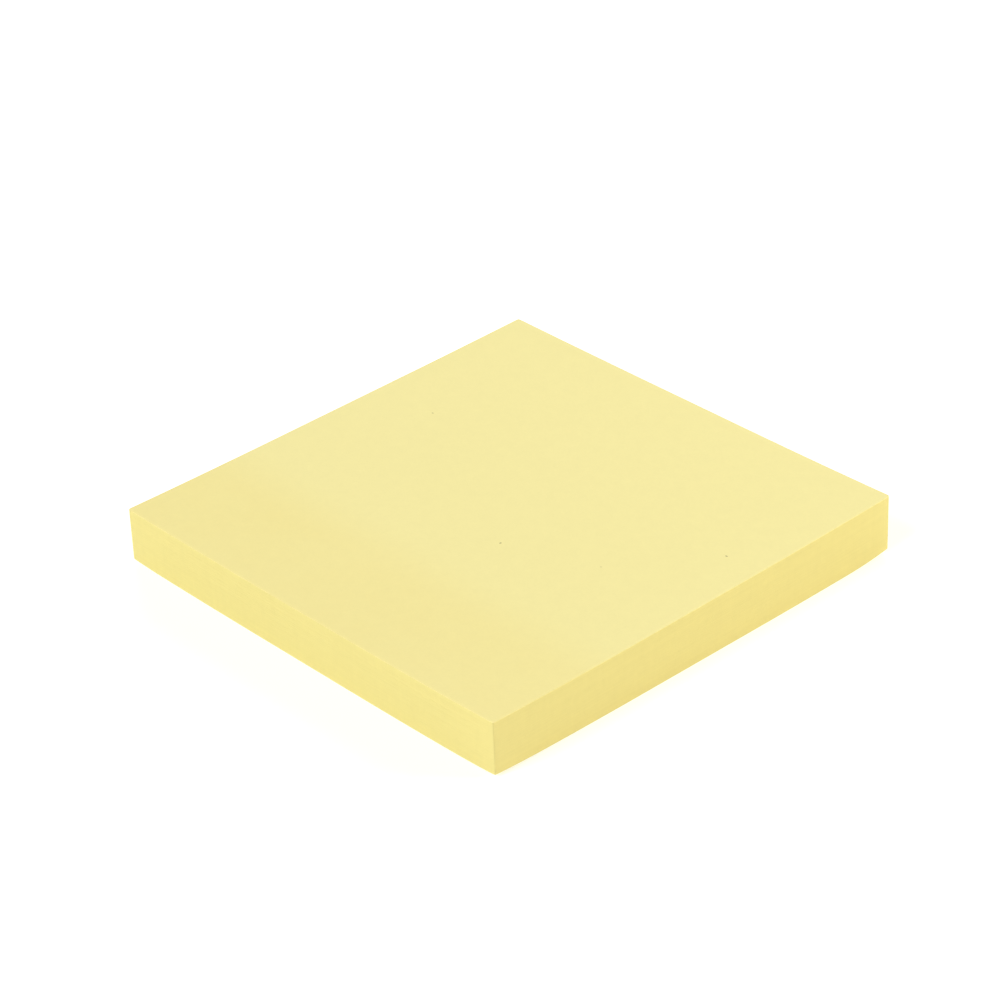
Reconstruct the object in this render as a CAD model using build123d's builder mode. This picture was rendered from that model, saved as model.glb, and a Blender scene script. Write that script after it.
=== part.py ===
"""A pad of square sticky notes: a stack of notes glued along one edge, lying on its backing sheet.

The origin is the centre of the flat underside. +Z is up, X runs along the glued edge, and the glued edge
is on the -Y side, so the notes lift from +Y. All sizes are in millimetres.
"""

import os
from math import asin, atan2, degrees

from build123d import *

# The notes
note_width = 76.0  # along the glued edge
note_length = 76.0  # from the glued edge to the free edge
corner_radius = 0.3  # of the cut corners, seen from above
sheet_count = 100
sheet_thickness = 0.083
free_edge_spring = 0.8  # the loose free edge stands this much higher than the glued edge

# The backing sheet under the last note, cut with the notes
backing_thickness = 0.1

# The corners of the cut pad turn up slightly, each on an arc square to its diagonal
corner_lift = 0.3
lift_reach = 20.0  # from the corner inwards to where it starts to turn up

# Worked out from the sizes above
glued_height = sheet_count * sheet_thickness
spring_angle = degrees(atan2(free_edge_spring, note_length))
bend_radius = (lift_reach**2 + corner_lift**2) / (2 * corner_lift)
trim = 2.0  # how far a shape runs past the outline before it is cut to it
bend_angle = degrees(asin((lift_reach + trim) / bend_radius))
over_all = backing_thickness + glued_height + free_edge_spring + 2 * corner_lift

# The faces of the sheets, where the pad is flat
underside = Plane.XY
stack_base = underside.offset(backing_thickness)
stack_top = stack_base.offset(glued_height + free_edge_spring / 2).rotated((spring_angle, 0, 0))


def corner_slivers(sheet_face):
    """The four slivers between a flat sheet face and the same face with its corners turned up."""
    with BuildPart() as slivers:
        for side in (-1, 1):
            for end in (-1, 1):
                outwards = (sheet_face.x_dir * side + sheet_face.y_dir * end).normalized()
                corner = sheet_face.from_local_coords((side * note_width / 2, end * note_length / 2, 0))
                diagonal = Plane(
                    origin=corner - outwards * lift_reach,
                    x_dir=outwards,
                    z_dir=outwards.cross(sheet_face.z_dir),
                )
                with BuildSketch(diagonal):
                    with BuildLine():
                        bend = CenterArc((0, bend_radius), bend_radius, -90, bend_angle)
                        drop = Line(bend @ 1, ((bend @ 1).X, 0))
                        Line(drop @ 1, bend @ 0)
                    make_face()
                extrude(amount=lift_reach + trim, both=True)
    return slivers.part


underside_corners = corner_slivers(underside)
stack_base_corners = corner_slivers(stack_base)
stack_top_corners = corner_slivers(stack_top)

# The outline that one cut gives the whole pad
with BuildSketch() as outline:
    RectangleRounded(note_width, note_length, corner_radius)

# The notes: one solid, thicker at the free edge, where nothing holds the sheets together
with BuildPart() as note_sheets:
    with BuildSketch(stack_base):
        Rectangle(note_width + 2 * trim, note_length + 2 * trim)
    extrude(amount=over_all)
    split(bisect_by=stack_top, keep=Keep.BOTTOM)
    add(stack_top_corners)
    add(stack_base_corners, mode=Mode.SUBTRACT)
    extrude(outline.sketch, amount=over_all, mode=Mode.INTERSECT)

# The backing sheet: coated paper that the last note's adhesive lets go of
with BuildPart() as backing_sheet:
    extrude(outline.sketch, amount=backing_thickness)
    add(stack_base_corners)
    add(underside_corners, mode=Mode.SUBTRACT)
    extrude(outline.sketch, amount=over_all, mode=Mode.INTERSECT)

os.makedirs("parts", exist_ok=True)
note_sheets.part.label = "note_sheets"
export_step(note_sheets.part, "parts/note_sheets.step")
backing_sheet.part.label = "backing_sheet"
export_step(backing_sheet.part, "parts/backing_sheet.step")
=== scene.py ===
from math import cos, pi, radians, sin

import bpy
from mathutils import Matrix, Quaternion, Vector


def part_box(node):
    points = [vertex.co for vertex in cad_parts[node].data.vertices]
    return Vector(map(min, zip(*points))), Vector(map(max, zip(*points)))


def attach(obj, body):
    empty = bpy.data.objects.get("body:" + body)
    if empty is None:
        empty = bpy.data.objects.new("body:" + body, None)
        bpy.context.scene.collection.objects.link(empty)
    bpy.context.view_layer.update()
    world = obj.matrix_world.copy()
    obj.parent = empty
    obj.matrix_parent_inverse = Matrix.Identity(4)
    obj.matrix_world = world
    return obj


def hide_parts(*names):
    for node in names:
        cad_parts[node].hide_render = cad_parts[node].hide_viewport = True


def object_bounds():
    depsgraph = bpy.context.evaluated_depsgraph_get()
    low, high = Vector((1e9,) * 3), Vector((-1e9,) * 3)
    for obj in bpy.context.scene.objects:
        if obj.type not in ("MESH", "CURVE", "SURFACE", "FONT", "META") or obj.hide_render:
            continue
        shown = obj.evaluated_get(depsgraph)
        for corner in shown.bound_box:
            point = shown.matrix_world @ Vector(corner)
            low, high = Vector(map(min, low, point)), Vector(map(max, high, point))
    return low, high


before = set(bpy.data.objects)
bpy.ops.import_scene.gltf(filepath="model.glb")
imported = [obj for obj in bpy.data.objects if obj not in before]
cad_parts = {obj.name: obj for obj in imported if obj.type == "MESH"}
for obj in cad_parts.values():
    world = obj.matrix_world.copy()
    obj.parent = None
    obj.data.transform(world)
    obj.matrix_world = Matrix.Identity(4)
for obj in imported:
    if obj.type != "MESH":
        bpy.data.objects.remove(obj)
cad_low, cad_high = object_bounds()


# ---- Note stack ------------------------------------------------------------------------------------
# Ninety-nine notes of uncoated yellow writing paper, lying under the top one. A guillotine cut them
# square in one stroke, and a strip of weak adhesive under each one's -Y edge holds them together, so
# they lie tight there and stand slightly apart towards the free +Y edge.

MM = 0.001
stack_low, stack_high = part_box("note_sheets")
note_width = stack_high.x - stack_low.x
note_length = stack_high.y - stack_low.y
note_count = 100
free_edge_spring = 0.8 * MM  # how much higher the free edge stands than the glued edge
corner_radius = 0.3 * MM
corner_lift = 0.28 * MM
lift_reach = 20 * MM  # from a corner inwards to where it starts to turn up
lift_lean = (0.24, -0.2)  # the corners on the +X and -Y sides turn up more
under_curl = 0.35 * MM  # how much more the lowest sheets' corners turn up, fading to none at the top
under_reach = 6 * MM
under_lean = 0.55  # the corners at the free edge curl more
note_pitch = (stack_high.z - stack_low.z - free_edge_spring - corner_lift) / note_count
note_thickness = 0.92 * note_pitch  # the rest is the crease
gap_depth = 0.05 * MM  # how far in the crease between two cut edges shows
cut_wander = 0.008 * MM  # how far a sheet's cut edge strays from its neighbours'
cut_seed = 7
cut_columns = 41  # points along each side, closer together towards the corners
cut_yellow = (0.771, 0.665, 0.243, 1)
# painted shade: the creases between the sheets' cut edges get a darker colour than the edges
crease_shade_yellow = (0.735, 0.615, 0.21, 1)
sharp_angle = radians(30)  # edges turning more than this are shaded sharp
# painted highlight: the cut edges are lightened near the vertical corners and along the top edge
edge_highlight_tint = (1.012, 1.014, 1.02, 1)
edge_highlight_width = 0.5  # millimetres, from a corner or the top edge


class Wire:
    """A node's output socket. Arithmetic on it adds Math nodes to its tree."""

    def __init__(self, tree, socket):
        self.tree = tree
        self.socket = socket

    def maths(self, operation, *values):
        return self.tree.node("ShaderNodeMath", {"operation": operation}, dict(enumerate(values)))

    def __add__(self, other):
        return self.maths("ADD", self, other)

    def __radd__(self, other):
        return self.maths("ADD", other, self)

    def __sub__(self, other):
        return self.maths("SUBTRACT", self, other)

    def __rsub__(self, other):
        return self.maths("SUBTRACT", other, self)

    def __mul__(self, other):
        return self.maths("MULTIPLY", self, other)

    def __rmul__(self, other):
        return self.maths("MULTIPLY", other, self)

    def __truediv__(self, other):
        return self.maths("DIVIDE", self, other)

    def __rtruediv__(self, other):
        return self.maths("DIVIDE", other, self)

    def __mod__(self, other):
        return self.maths("MODULO", self, other)

    def __rmod__(self, other):
        return self.maths("MODULO", other, self)

    def __gt__(self, other):
        return self.maths("GREATER_THAN", self, other)

    def __lt__(self, other):
        return self.maths("LESS_THAN", self, other)

    def __abs__(self):
        return self.maths("ABSOLUTE", self)


class Tree:
    """A node tree for a shape or a material."""

    def __init__(self, tree):
        self.tree = tree

    def node(self, kind, settings, sockets, output=0):
        """Adds a node with these settings, then fills its sockets with values or wires."""
        made = self.tree.nodes.new(kind)
        for name, value in settings.items():
            setattr(made, name, value)
        for name, value in sockets.items():
            socket = self.named(made.inputs, name)
            if isinstance(value, Wire):
                self.tree.links.new(value.socket, socket)
            else:
                socket.default_value = value
        return Wire(self, self.named(made.outputs, output))

    def named(self, sockets, name):
        if isinstance(name, int):
            return sockets[name]
        return next(socket for socket in sockets if socket.name == name and socket.enabled)

    def parts(self, vector):
        """The three numbers of a vector."""
        return [self.node("ShaderNodeSeparateXYZ", {}, {0: vector}, axis) for axis in "XYZ"]


def sheets_tree():
    """The shape of notes cut together: one closed skin, whose side walls follow each sheet's cut edge."""
    group = bpy.data.node_groups.new("cut sheets", "GeometryNodeTree")
    for name, kind in (
        ("Width", "Float"),
        ("Length", "Float"),
        ("Corner Radius", "Float"),
        ("Columns", "Int"),
        ("Sheets", "Int"),
        ("Sheets Below", "Int"),
        ("Base", "Float"),
        ("Pitch", "Float"),
        ("Thickness", "Float"),
        ("Free Edge Spring", "Float"),
        ("Corner Lift", "Float"),
        ("Lift Reach", "Float"),
        ("Lift Lean X", "Float"),
        ("Lift Lean Y", "Float"),
        ("Under Curl", "Float"),
        ("Under Reach", "Float"),
        ("Under Lean", "Float"),
        ("Sheets In Pad", "Int"),
        ("Gap Depth", "Float"),
        ("Cut Wander", "Float"),
        ("Seed", "Int"),
        ("Map Share", "Float"),
        ("Paper", "Material"),
    ):
        group.interface.new_socket(name, in_out="INPUT", socket_type="NodeSocket" + kind)
    group.interface.new_socket("Sheets", in_out="OUTPUT", socket_type="NodeSocketGeometry")
    tree = Tree(group)
    entry = group.nodes.new("NodeGroupInput")
    size = {socket.name: Wire(tree, socket) for socket in entry.outputs if socket.name}

    # A cube's skin, with four rings of points for each sheet: its lower and upper cut edge, then the
    # two rings of the crease above it.
    rings = size["Sheets"] * 4 - 2
    counts = {"Vertices X": size["Columns"], "Vertices Y": size["Columns"], "Vertices Z": rings}
    cube = tree.node("GeometryNodeMeshCube", {}, {"Size": (2, 2, 2)} | counts, "Mesh")
    across, along, up = tree.parts(tree.node("GeometryNodeInputPosition", {}, {}))
    ring = tree.node("ShaderNodeMath", {"operation": "ROUND"}, {0: (up + 1) / 2 * (rings - 1)})
    step = ring % 4
    in_crease = step > 1.5
    upper_side = abs(step - 1.5) < 1
    sheet = (ring + 1).maths("FLOOR", (ring + 1) / 4) + size["Sheets Below"]

    # Where each sheet's edge runs: the square outline with rounded corners, a little off its neighbours'.
    stray = {"Min": -1.0, "Max": 1.0, "ID": sheet}
    wander = [
        tree.node("FunctionNodeRandomValue", {"data_type": "FLOAT"}, stray | {"Seed": seed}, "Value")
        for seed in (size["Seed"], size["Seed"] + 1)
    ]
    half_width = size["Width"] / 2 - in_crease * size["Gap Depth"]
    half_length = size["Length"] / 2 - in_crease * size["Gap Depth"]
    spread_x = (across * (pi / 2)).maths("SINE", across * (pi / 2))
    spread_y = (along * (pi / 2)).maths("SINE", along * (pi / 2))
    x = spread_x * half_width
    y = spread_y * half_length
    straight_x = half_width - size["Corner Radius"]
    straight_y = half_length - size["Corner Radius"]
    past_x = x.maths("MAXIMUM", abs(x) - straight_x, 0.0)
    past_y = y.maths("MAXIMUM", abs(y) - straight_y, 0.0)
    far = past_x.maths("SQRT", past_x * past_x + past_y * past_y)
    rounding = past_x.maths("MAXIMUM", past_x, past_y) / far.maths("MAXIMUM", far, 1e-9)
    x = x.maths("SIGN", x) * (x.maths("MINIMUM", abs(x), straight_x) + past_x * rounding)
    y = y.maths("SIGN", y) * (y.maths("MINIMUM", abs(y), straight_y) + past_y * rounding)

    # How high each sheet lies: its place in the stack, the spring at the free edge and the lifted corners.
    from_corner = (size["Width"] / 2 - abs(x) + size["Length"] / 2 - abs(y)) / 2**0.5
    curl = from_corner.maths("MAXIMUM", 1 - from_corner / size["Lift Reach"], 0.0)
    lean = 1 + size["Lift Lean X"] * spread_x + size["Lift Lean Y"] * spread_y
    lift = size["Corner Lift"] * curl * curl * lean
    under = from_corner.maths("MAXIMUM", 1 - from_corner / size["Under Reach"], 0.0)
    how_low = (1 - sheet / size["Sheets In Pad"]) * (1 + size["Under Lean"] * spread_y)
    lift = lift + size["Under Curl"] * under * under * how_low
    level = size["Pitch"] + size["Free Edge Spring"] * (y / size["Length"] + 0.5)
    z = size["Base"] + lift + sheet * level + upper_side * size["Thickness"]
    place = tree.node(
        "ShaderNodeCombineXYZ",
        {},
        {"X": x + wander[0] * size["Cut Wander"], "Y": y + wander[1] * size["Cut Wander"], "Z": z},
    )

    # A map for baking: the upper face in one corner, the lower face beside it, the four sides as strips.
    normal = tree.node("GeometryNodeInputNormal", {}, {})
    facing = {"domain": "FACE", "data_type": "FLOAT_VECTOR"}
    east, north, top = tree.parts(tree.node("GeometryNodeFieldOnDomain", facing, {"Value": normal}))
    share = size["Map Share"]
    under_share = share.maths("MINIMUM", share, 1 - share)
    on_top = top > 0.5
    under = top < -0.5
    on_side = 1 - on_top - under
    strip = abs(east) * (1 - east) / 2 + abs(north) * (2.5 - north / 2)
    along_side = abs(east) * spread_y + abs(north) * spread_x
    half_tile = 0.49  # a little less than half, so that neighbours on the map stay apart
    half_strip = 0.46
    face_u = 0.5 + half_tile * spread_x
    face_v = 0.5 + half_tile * spread_y
    top_u = on_top * share * face_u
    under_u = under * (share + under_share * face_u)
    side_u = on_side * (0.5 + half_tile * along_side)
    top_v = on_top * (1 - share + share * face_v)
    under_v = under * (1 - under_share + under_share * face_v)
    side_v = on_side * (1 - share) / 4 * (strip + 0.5 + half_strip * up)
    map_sockets = {"X": top_u + under_u + side_u, "Y": top_v + under_v + side_v}
    map_place = tree.node("ShaderNodeCombineXYZ", {}, map_sockets)

    shape = cube
    for name, kind, domain, value in (
        ("OFBake", "FLOAT2", "CORNER", map_place),
        ("sheet", "FLOAT", "POINT", sheet),
        ("crease", "FLOAT", "POINT", in_crease),
    ):
        stored = {"data_type": kind, "domain": domain}
        sockets = {"Geometry": shape, "Name": name, "Value": value}
        shape = tree.node("GeometryNodeStoreNamedAttribute", stored, sockets)
    shape = tree.node("GeometryNodeSetPosition", {}, {"Geometry": shape, "Position": place})
    shape = tree.node("GeometryNodeRealizeInstances", {}, {"Geometry": shape})
    shape = tree.node("GeometryNodeSetMaterial", {}, {"Geometry": shape, "Material": size["Paper"]})
    leave = group.nodes.new("NodeGroupOutput")
    group.links.new(shape.socket, leave.inputs[0])
    return group


cut_sheets = sheets_tree()


def sheets(name, paper, **sizes):
    """A piece made by the cut sheets tree, as a plain mesh in the frame's place."""
    piece = bpy.data.objects.new(name, bpy.data.meshes.new(name))
    bpy.context.scene.collection.objects.link(piece)
    modifier = piece.modifiers.new("cut sheets", "NODES")
    modifier.node_group = cut_sheets
    shared = {
        "Width": note_width,
        "Length": note_length,
        "Corner Radius": corner_radius,
        "Columns": cut_columns,
        "Free Edge Spring": free_edge_spring / note_count,
        "Corner Lift": corner_lift,
        "Lift Reach": lift_reach,
        "Lift Lean X": lift_lean[0],
        "Lift Lean Y": lift_lean[1],
        "Under Curl": under_curl,
        "Under Reach": under_reach,
        "Under Lean": under_lean,
        "Sheets In Pad": note_count,
        "Gap Depth": gap_depth,
        "Cut Wander": cut_wander,
        "Seed": cut_seed,
        "Paper": paper,
    }
    given = shared | {key.replace("_", " ").title(): value for key, value in sizes.items()}
    for socket in cut_sheets.interface.items_tree:
        if socket.in_out == "INPUT":
            modifier[socket.identifier] = given[socket.name]
    evaluated = piece.evaluated_get(bpy.context.evaluated_depsgraph_get())
    mesh = bpy.data.meshes.new_from_object(evaluated)
    piece.modifiers.clear()
    piece.data = mesh
    mesh.name = name
    mesh.shade_smooth()
    mesh.set_sharp_from_angle(angle=sharp_angle)
    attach(piece, "root")
    return piece


def material(name, **constants):
    """A new material: its tree, its shader node and its place in millimetres."""
    made = bpy.data.materials.new(name)
    made.use_nodes = True
    shader = made.node_tree.nodes["Principled BSDF"]
    for key, value in constants.items():
        shader.inputs[key.replace("_", " ").title().replace("Ior", "IOR")].default_value = value
    tree = Tree(made.node_tree)
    metres = tree.node("ShaderNodeTexCoord", {}, {}, "Object")
    sockets = {0: metres, "Scale": 1 / MM}
    place = tree.node("ShaderNodeVectorMath", {"operation": "SCALE"}, sockets, "Vector")
    return made, tree, shader, place


def noise(tree, place, scale, detail=2.0, stretch=(1, 1, 1)):
    """Soft noise from -1 to 1, with this many lumps to the millimetre."""
    sockets = {0: place, 1: stretch}
    stretched = tree.node("ShaderNodeVectorMath", {"operation": "MULTIPLY"}, sockets, "Vector")
    sockets = {"Vector": stretched, "Scale": scale, "Detail": detail}
    return tree.node("ShaderNodeTexNoise", {}, sockets) * 2 - 1


def blend(tree, share, first, second, how="MIX"):
    """A colour that goes from the first to the second, or to the two combined in another way."""
    sockets = {"Factor": share, "A": first, "B": second}
    return tree.node("ShaderNodeMix", {"data_type": "RGBA", "blend_type": how}, sockets, "Result")


def ramp(tree, value, low, high):
    """Goes smoothly from 0 at low to 1 at high."""
    sockets = {"Value": value, "From Min": low, "From Max": high}
    return tree.node("ShaderNodeMapRange", {"interpolation_type": "SMOOTHSTEP"}, sockets, "Result")


def brighten(tree, colour, amount):
    """A colour made lighter or darker by a share of itself."""
    sockets = {0: colour, "Scale": 1 + amount}
    return tree.node("ShaderNodeVectorMath", {"operation": "SCALE"}, sockets, "Vector")


def shaded(tree, shader, height, distance, **sockets):
    """Wires colour and roughness to the shader, and a bump of this depth to its normal."""
    bump = tree.node("ShaderNodeBump", {}, {"Strength": 1.0, "Distance": distance, "Height": height})
    for name, wire in (sockets | {"Normal": bump}).items():
        tree.tree.links.new(wire.socket, shader.inputs[name.replace("_", " ")])


def cut_paper():
    """Cut edges: each sheet a little lighter or darker, scuffed by the knife, with painted shade in the
    creases and a painted highlight at the corners and along the top edge.
    """
    made, tree, shader, place = material("cut note edges", specular_ior_level=0.2)
    sheet = tree.node("ShaderNodeAttribute", {"attribute_name": "sheet"}, {}, "Fac")
    crease = tree.node("ShaderNodeAttribute", {"attribute_name": "crease"}, {}, "Fac")
    whole = sheet.maths("ROUND", sheet)
    tone = tree.node("ShaderNodeTexWhiteNoise", {"noise_dimensions": "1D"}, {"W": whole}, "Value") * 2 - 1
    layers = noise(tree, place, 1.0, 1.0, (0.08, 0.08, 5.0))
    scuffs = noise(tree, place, 1.0, 2.0, (2.2, 2.2, 0.12))
    cloud = noise(tree, place, 0.9, 2.0)
    fibre = noise(tree, place, 6.0, 2.0)
    x, y = tree.parts(place)[:2]
    from_corner = (note_width / 2 + note_length / 2) / MM - abs(x) - abs(y)
    from_top = (note_count - 1 - whole) * (note_pitch / MM)
    nearest = from_corner.maths("MINIMUM", from_corner, from_top)
    # painted highlight: lighter near the corners and the top edge
    edge_highlight = 1 - ramp(tree, nearest, 0.2 * edge_highlight_width, edge_highlight_width)
    # painted shade: a darker colour in the creases between the sheets
    colour = blend(tree, crease, cut_yellow, crease_shade_yellow)
    colour = blend(tree, edge_highlight, colour, edge_highlight_tint, "MULTIPLY")
    shade = tone * 0.012 + layers * 0.02 + scuffs * 0.012 + cloud * 0.02 + fibre * 0.025
    colour = brighten(tree, colour, shade)
    shaded(tree, shader, fibre + scuffs, 0.004 * MM, Base_Color=colour, Roughness=0.9 + fibre * 0.05)
    return made


note_stack = sheets(
    "note_stack",
    cut_paper(),
    sheets=note_count - 1,
    sheets_below=0,
    base=stack_low.z,
    pitch=note_pitch,
    thickness=note_thickness,
    map_share=0.2,
)
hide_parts("note_sheets")


# ---- Top note --------------------------------------------------------------------------------------
# The uppermost sheet, of the same paper, and the only one whose face shows. The adhesive under its -Y
# edge shows through as a faint warmer band, and a few specks from the pulp lie in its surface.

note_yellow = (0.849, 0.755, 0.328, 1)
glue_yellow = (0.839, 0.724, 0.291, 1)
# painted highlight: a pale line along the +X and -Y edges of the top note
near_edge_highlight_tint = (1.022, 1.018, 1.0, 1)
speck_brown = (0.30, 0.24, 0.10, 1)
glue_width = 18.7  # millimetres, from the glued edge
glue_fade = 5.5
near_edge_highlight_width = 0.6
specks = (  # centre and half sizes in millimetres, how dark
    (-26.6, 9.9, 0.22, 0.14, 0.5),
    (6.8, -7.6, 0.16, 0.22, 0.6),
    (21.3, -2.3, 0.16, 0.12, 0.3),
    (31.9, 11.4, 0.25, 0.13, 0.7),
)


def face_paper():
    """The face of a note: matte, cloudy from its pulp, with the adhesive's band, a painted highlight along
    its two near edges, and specks.
    """
    made, tree, shader, place = material("note face", specular_ior_level=0.2)
    x, y = tree.parts(place)[:2]
    cloud = noise(tree, place, 0.6, 3.0)
    fibre = noise(tree, place, 2.5, 3.0)
    blotch = noise(tree, place, 0.07, 2.0) + noise(tree, place, 0.25, 2.0) * 0.5
    glue_edge = glue_width - note_length / MM / 2
    band = 1 - ramp(tree, y + blotch * 2.0, glue_edge - glue_fade, glue_edge + glue_fade)
    glue = band * (0.75 + blotch * 0.35 - x * 0.004)
    to_right = note_width / MM / 2 - x
    to_front = note_length / MM / 2 + y
    # painted highlight: lighter within a fraction of a millimetre of the +X and -Y edges
    near_edge_highlight = 1 - ramp(tree, to_right.maths("MINIMUM", to_right, to_front), 0.3 * near_edge_highlight_width, near_edge_highlight_width)
    colour = blend(tree, glue, note_yellow, glue_yellow)
    colour = blend(tree, near_edge_highlight, colour, near_edge_highlight_tint, "MULTIPLY")
    colour = brighten(tree, colour, cloud * 0.018 + fibre * 0.02)
    for speck_x, speck_y, half_x, half_y, dark in specks:
        off_x = (x - speck_x) / half_x
        off_y = (y - speck_y) / half_y
        spot = 1 - ramp(tree, off_x * off_x + off_y * off_y + fibre * 0.4, 0.3, 1.2)
        colour = blend(tree, spot * dark, colour, speck_brown)
    shaded(tree, shader, cloud + fibre, 0.003 * MM, Base_Color=colour, Roughness=0.85 + fibre * 0.05)
    return made


top_note = sheets(
    "top_note",
    face_paper(),
    sheets=1,
    sheets_below=note_count - 1,
    base=stack_low.z,
    pitch=note_pitch,
    thickness=note_thickness,
    map_share=0.75,
)


# ---- Backing sheet ---------------------------------------------------------------------------------
# A sheet of smoother, paler paper under the last note, coated so that the note's adhesive lets go of
# it. It was cut with the notes, so its edges are flush with theirs, and the pad lies on it.

backing_yellow = (0.84, 0.76, 0.40, 1)
backing_pale = (0.86, 0.79, 0.46, 1)
backing_low, backing_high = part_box("backing_sheet")


def coated_paper():
    """Paper under a thin release coating: smooth, faintly glossy, and slightly uneven in tone."""
    made, tree, shader, place = material("coated backing", specular_ior_level=0.45)
    cloud = noise(tree, place, 0.12, 3.0)
    fibre = noise(tree, place, 3.0, 3.0)
    colour = blend(tree, 0.5 + cloud * 0.5, backing_yellow, backing_pale)
    colour = brighten(tree, colour, fibre * 0.01)
    shaded(tree, shader, fibre + cloud, 0.002 * MM, Base_Color=colour, Roughness=0.42 + cloud * 0.06)
    return made


backing = sheets(
    "backing",
    coated_paper(),
    sheets=1,
    sheets_below=0,
    base=backing_low.z,
    pitch=0.0,
    thickness=0.95 * (stack_low.z - backing_low.z),
    map_share=0.5,
)
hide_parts("backing_sheet")


# ---- Floor, light and camera -----------------------------------------------------------------------
# A plain floor, bright enough to look white right up to the pad, with even light from all round and
# three soft lamps: a large cool one in front, a small warm one at the right, and a low one at the back.

floor_half = 6.0
floor_glow = 0.26  # lightens the pad's shadow on it
room_light = 0.267
lens_length = 128.1
film_width = 36
floor_mesh = bpy.data.meshes.new("floor")
corners = [(x * floor_half, y * floor_half, cad_low.z) for x, y in ((-1, -1), (1, -1), (1, 1), (-1, 1))]
floor_mesh.from_pydata(corners, [], [(0, 1, 2, 3)])
floor = bpy.data.objects.new("floor", floor_mesh)
bpy.context.scene.collection.objects.link(floor)
floor_paint = bpy.data.materials.new("floor")
floor_paint.use_nodes = True
floor_shader = floor_paint.node_tree.nodes["Principled BSDF"]
for name, value in (
    ("Base Color", (0.93, 0.93, 0.93, 1)),
    ("Roughness", 0.9),
    ("Specular IOR Level", 0.1),
    ("Emission Color", (1, 1, 1, 1)),
    ("Emission Strength", floor_glow),
):
    floor_shader.inputs[name].default_value = value
floor_mesh.materials.append(floor_paint)

world = bpy.data.worlds.new("studio")
world.use_nodes = True
world.node_tree.nodes["Background"].inputs["Color"].default_value = (1, 1, 1, 1)
world.node_tree.nodes["Background"].inputs["Strength"].default_value = room_light
bpy.context.scene.world = world

for name, place, size, watts, colour in (
    ("front lamp", (-0.1, -1.05, 0.85), 0.9, 13.84, (0.97, 1.0, 1.05)),
    ("right lamp", (0.4, 0.4, 0.22), 0.3, 2.45, (1.03, 1.0, 0.95)),
    ("back lamp", (-0.6, 0.5, 0.3), 0.5, 3.45, (1.0, 1.0, 1.0)),
):
    lamp = bpy.data.objects.new(name, bpy.data.lights.new(name, "AREA"))
    lamp.data.shape = "DISK"
    lamp.data.size = size
    lamp.data.energy = watts
    lamp.data.color = colour
    lamp.location = place
    lamp.rotation_mode = "QUATERNION"
    lamp.rotation_quaternion = (-lamp.location).to_track_quat("-Z", "Y")
    bpy.context.scene.collection.objects.link(lamp)

aim = Vector((-7.18, 5.14, 4.2)) * MM
camera_azimuth = radians(48.23)
camera_elevation = radians(31.32)
camera_roll = radians(2.32)
camera_distance = 511.5 * MM
back = Vector(
    (
        sin(camera_azimuth) * cos(camera_elevation),
        -cos(camera_azimuth) * cos(camera_elevation),
        sin(camera_elevation),
    )
)
camera = bpy.data.objects.new("camera", bpy.data.cameras.new("camera"))
camera.data.sensor_width = film_width
camera.data.lens = lens_length
camera.location = aim + back * camera_distance
camera.rotation_mode = "QUATERNION"
camera.rotation_quaternion = (-back).to_track_quat("-Z", "Y") @ Quaternion((0, 0, 1), -camera_roll)
bpy.context.scene.collection.objects.link(camera)
bpy.context.scene.camera = camera
bpy.context.scene.view_settings.view_transform = "Standard"
